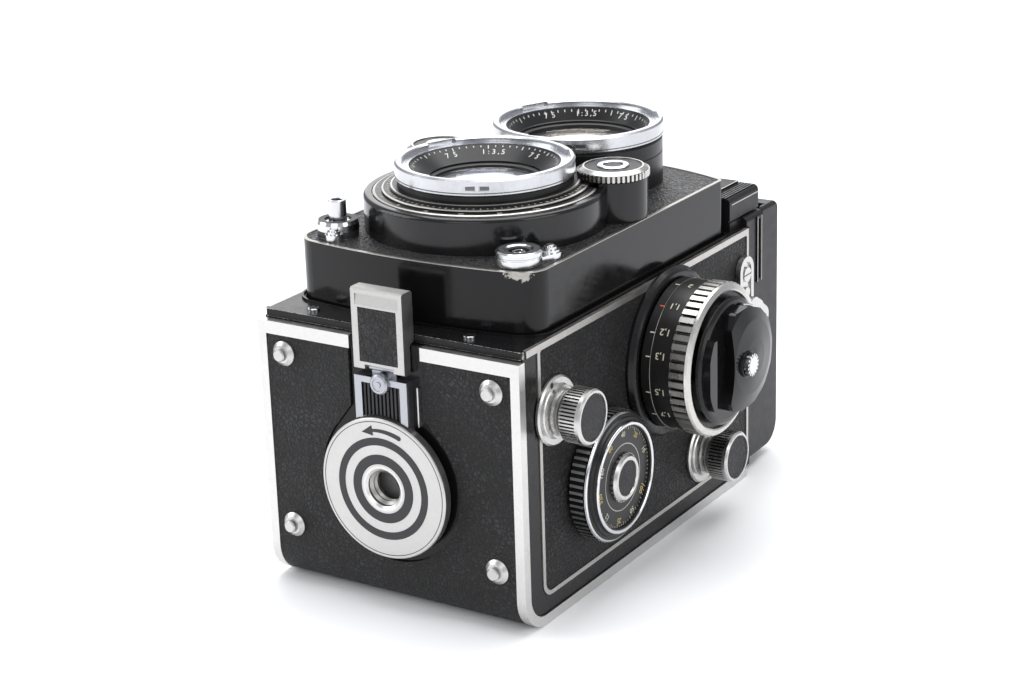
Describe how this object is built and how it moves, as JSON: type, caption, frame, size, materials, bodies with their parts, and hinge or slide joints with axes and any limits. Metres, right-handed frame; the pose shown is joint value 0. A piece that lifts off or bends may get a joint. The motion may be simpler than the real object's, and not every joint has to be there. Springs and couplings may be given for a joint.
{
  "type": "twin lens reflex camera",
  "caption": "Boxy leather-covered film camera with one lens above the other, a folding waist-level hood, a hinged back door, a focusing knob and a tripod disc.",
  "frame": {"origin": "where the taking lens axis meets the outer face of the back door, which is the plane the camera lies on", "axes": "+Z out of the lenses, +Y towards the viewing hood, +X to the focusing knob side"},
  "size_m": [0.1107, 0.1472, 0.1062],
  "materials": {
    "black_enamel": "gloss black stove enamel",
    "black_satin": "satin black paint",
    "bright_chrome": "polished chrome plate",
    "satin_chrome": "satin chrome plate",
    "turned_steel": "concentric turned steel",
    "black_leather": "pebbled black leather",
    "lens_glass": "coated optical glass",
    "ground_glass": "fine ground glass",
    "mirror_silver": "front-surface silvered mirror",
    "gear_brass": "milled brass",
    "black_plastic": "moulded black plastic",
    "black_anodised": "black anodised",
    "die_cast": "die-cast alloy, painted black"
  },
  "bodies": {
    "body": {"body_casting": "die_cast", "front_flange": "black_enamel", "flange_screws": "black_satin", "side_trims": "satin_chrome", "side_leather_right": "black_leather", "side_leather_left": "black_leather", "reflex_mirror": "mirror_silver", "focusing_screen": "ground_glass", "meter_block": "black_enamel", "nameplate": "black_satin", "hood_frame": "black_enamel", "strap_lugs": "satin_chrome", "spool_knob_bases": "satin_chrome", "focus_collar": "satin_chrome", "meter_head": "black_enamel", "meter_head_screw": "bright_chrome", "crank_base": "satin_chrome"},
    "lens_board": {"lens_board_box": "black_enamel", "lens_board_leather": "black_leather", "shutter_housing": "black_satin", "taking_barrel": "black_anodised", "viewing_barrel": "black_anodised", "taking_bayonet": "bright_chrome", "viewing_bayonet": "bright_chrome", "taking_lens": "lens_glass", "viewing_lens": "lens_glass", "release_base": "satin_chrome", "flash_socket": "bright_chrome"},
    "release": {"release_button": "bright_chrome"},
    "aperture": {"aperture_wheel": "satin_chrome"},
    "speed": {"speed_wheel": "satin_chrome"},
    "focus_knob": {"focus_drum": "black_anodised", "focus_ring": "satin_chrome"},
    "film_speed": {"film_speed_dial": "black_anodised"},
    "film_speed_centre": {"film_speed_knob": "satin_chrome"},
    "plunger_lower": {"spool_plunger_lower": "satin_chrome"},
    "knob_lower": {"spool_knob_lower": "satin_chrome"},
    "plunger_upper": {"spool_plunger_upper": "satin_chrome"},
    "knob_upper": {"spool_knob_upper": "satin_chrome"},
    "spool": {"takeup_spool": "black_plastic"},
    "drive": {"spool_drive": "gear_brass"},
    "crank": {"crank_arm": "satin_chrome", "advance_gear": "gear_brass"},
    "handle": {"crank_handle": "satin_chrome"},
    "door": {"door_shell": "black_enamel", "door_trim": "satin_chrome", "door_leather": "black_leather", "door_feet": "satin_chrome"},
    "film_plate": {"pressure_plate": "black_satin"},
    "tripod_disc": {"lock_disc": "turned_steel"},
    "latch": {"lock_slide": "satin_chrome", "lock_slide_insert": "black_satin"},
    "clasp": {"clasp_frame": "satin_chrome", "clasp_leather": "black_leather"},
    "lid": {"hood_lid": "black_enamel"},
    "panel_right": {"hood_panel_right": "black_satin"},
    "panel_left": {"hood_panel_left": "black_satin"},
    "panel_rear": {"hood_panel_rear": "black_satin"},
    "magnifier": {"magnifier_frame": "black_satin", "magnifier_lens": "lens_glass"}
  },
  "joints": [
    {"name": "lens_board_slide", "type": "slide", "parent": "body", "child": "lens_board", "axis": [0, 0, 1], "range_m": [-0.006, 0.0015]},
    {"name": "release_press", "type": "slide", "parent": "lens_board", "child": "release", "axis": [0, 0, -1], "range_m": [0, 0.0025], "stiffness_N_per_m": 300, "springref_m": -0.003},
    {"name": "aperture_turn", "type": "hinge", "parent": "lens_board", "child": "aperture", "pos_m": [-0.0266, 0.0194, 0.101], "axis": [0, 0, 1], "range_deg": [-20, 110]},
    {"name": "speed_turn", "type": "hinge", "parent": "lens_board", "child": "speed", "pos_m": [0.0266, 0.0194, 0.101], "axis": [0, 0, 1], "range_deg": [-110, 60]},
    {"name": "focus_turn", "type": "hinge", "parent": "body", "child": "focus_knob", "pos_m": [0.047, 0.026, 0.052], "axis": [1, 0, 0], "range_deg": [-225, 57]},
    {"name": "film_speed_turn", "type": "hinge", "parent": "body", "child": "film_speed", "pos_m": [0.042, -0.01, 0.0303], "axis": [1, 0, 0], "range_deg": [-150, 150]},
    {"name": "film_speed_centre_turn", "type": "hinge", "parent": "film_speed", "child": "film_speed_centre", "pos_m": [0.045, -0.01, 0.0303], "axis": [1, 0, 0], "range_deg": [-120, 120]},
    {"name": "plunger_lower_pull", "type": "slide", "parent": "body", "child": "plunger_lower", "axis": [1, 0, 0], "range_m": [0, 0.006]},
    {"name": "knob_lower_turn", "type": "hinge", "parent": "plunger_lower", "child": "knob_lower", "pos_m": [0.046, -0.0319, 0.0546], "axis": [1, 0, 0], "continuous": true},
    {"name": "plunger_upper_pull", "type": "slide", "parent": "body", "child": "plunger_upper", "axis": [1, 0, 0], "range_m": [0, 0.006]},
    {"name": "knob_upper_turn", "type": "hinge", "parent": "plunger_upper", "child": "knob_upper", "pos_m": [0.046, 0.0444, 0.0174], "axis": [1, 0, 0], "continuous": true},
    {"name": "crank_turn", "type": "hinge", "parent": "body", "child": "crank", "pos_m": [-0.04, 0.024, 0.03601], "axis": [-1, 0, 0], "continuous": true},
    {"name": "crank_handle_fold", "type": "hinge", "parent": "crank", "child": "handle", "pos_m": [-0.0449, -0.003, 0.03601], "axis": [0, 0, 1], "range_deg": [0, 90]},
    {"name": "spool_drive_turn", "type": "hinge", "parent": "body", "child": "drive", "pos_m": [-0.033, 0.0444, 0.0174], "axis": [-1, 0, 0], "continuous": true},
    {"name": "takeup_spool_turn", "type": "hinge", "parent": "body", "child": "spool", "pos_m": [0, 0.0444, 0.0174], "axis": [-1, 0, 0], "continuous": true},
    {"name": "back_door", "type": "hinge", "parent": "body", "child": "door", "pos_m": [0, 0.0729, 0.00175], "axis": [1, 0, 0], "range_deg": [0, 110]},
    {"name": "pressure_plate_press", "type": "slide", "parent": "door", "child": "film_plate", "axis": [0, 0, -1], "range_m": [0, 0.0015], "stiffness_N_per_m": 400, "springref_m": -0.002},
    {"name": "lock_disc_turn", "type": "hinge", "parent": "door", "child": "tripod_disc", "pos_m": [0, -0.049, 0.0333], "axis": [0, -1, 0], "range_deg": [0, 45]},
    {"name": "lock_slide_move", "type": "slide", "parent": "door", "child": "latch", "axis": [0, 0, 1], "range_m": [0, 0.003]},
    {"name": "clasp_lift", "type": "hinge", "parent": "latch", "child": "clasp", "pos_m": [0, -0.0483, 0.0643], "axis": [1, 0, 0], "range_deg": [0, 50]},
    {"name": "hood_lid_open", "type": "hinge", "parent": "body", "child": "lid", "pos_m": [0, 0.0895, 0.0715], "axis": [1, 0, 0], "range_deg": [0, 90]},
    {"name": "hood_panel_right_open", "type": "hinge", "parent": "body", "child": "panel_right", "pos_m": [0.0336, 0.0851, 0.0378], "axis": [0, 0, -1], "range_deg": [0, 90]},
    {"name": "hood_panel_left_open", "type": "hinge", "parent": "body", "child": "panel_left", "pos_m": [-0.0336, 0.0851, 0.0378], "axis": [0, 0, 1], "range_deg": [0, 90]},
    {"name": "hood_panel_rear_open", "type": "hinge", "parent": "body", "child": "panel_rear", "pos_m": [0, 0.0864, 0.0062], "axis": [-1, 0, 0], "range_deg": [0, 90]},
    {"name": "magnifier_fold", "type": "hinge", "parent": "lid", "child": "magnifier", "pos_m": [0, 0.0919, 0.0315], "axis": [1, 0, 0], "range_deg": [-90, 0]}
  ],
  "couplings": [
    {"joint": "focus_turn", "follows": "lens_board_slide", "rad_per_m": 653.6},
    {"joint": "spool_drive_turn", "follows": "crank_turn", "ratio": -1.5556},
    {"joint": "takeup_spool_turn", "follows": "crank_turn", "ratio": -1.5556},
    {"joint": "lock_slide_move", "follows": "lock_disc_turn", "m_per_rad": 0.0038197},
    {"joint": "hood_panel_right_open", "follows": "hood_lid_open", "ratio": 1},
    {"joint": "hood_panel_left_open", "follows": "hood_lid_open", "ratio": 1},
    {"joint": "hood_panel_rear_open", "follows": "hood_lid_open", "ratio": 1},
    {"joint": "magnifier_fold", "follows": "hood_lid_open", "ratio": -1}
  ]
}
